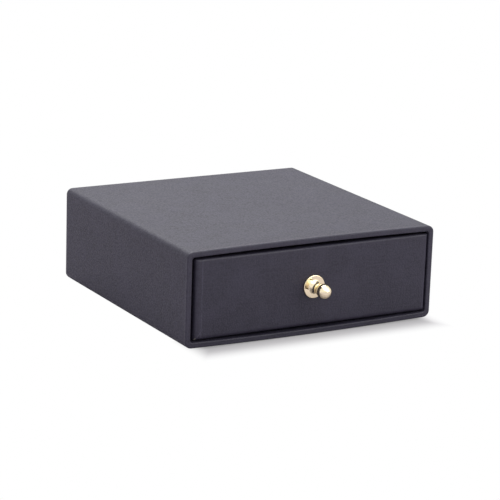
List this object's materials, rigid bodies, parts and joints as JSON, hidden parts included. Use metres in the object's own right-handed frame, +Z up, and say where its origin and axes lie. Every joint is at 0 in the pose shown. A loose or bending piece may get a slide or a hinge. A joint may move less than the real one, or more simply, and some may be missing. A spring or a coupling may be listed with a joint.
{
  "type": "drawer jewellery box",
  "caption": "Charcoal leatherette cufflink box: a wrapped sleeve with a sliding drawer, a gold ball stud as its pull and a slit velvet pad inside.",
  "frame": {"origin": "on the table, under the middle of the case", "axes": "+Z up, the drawer and its ball stud face -Y, +X to the right seen from above with the front nearest"},
  "size_m": [0.1, 0.1093, 0.0355],
  "materials": {
    "leatherette": "matte",
    "black_paper": "matte",
    "greyboard": "matte",
    "gummed_tape": "matte",
    "polished_gold": "polished",
    "foam": "matte",
    "velvet": "matte"
  },
  "bodies": {
    "case": {"case_board": "greyboard", "case_seam_tape": "gummed_tape", "case_back_board": "greyboard", "case_cover": "leatherette", "case_back_sheet": "leatherette", "case_base_sheet": "black_paper", "case_lining": "black_paper", "case_back_lining": "black_paper"},
    "drawer": {"drawer_tray_board": "greyboard", "drawer_corner_stays": "gummed_tape", "drawer_face_board": "greyboard", "drawer_cover": "leatherette", "drawer_wall_lining": "black_paper", "drawer_floor_lining": "black_paper", "knob": "polished_gold", "knob_screw": "polished_gold", "insert_card": "greyboard", "insert_foam": "foam", "insert_cover": "velvet"}
  },
  "joints": [
    {"name": "drawer_slide", "type": "slide", "parent": "case", "child": "drawer", "axis": [0, -1, 0], "range_m": [0, 0.085]}
  ]
}
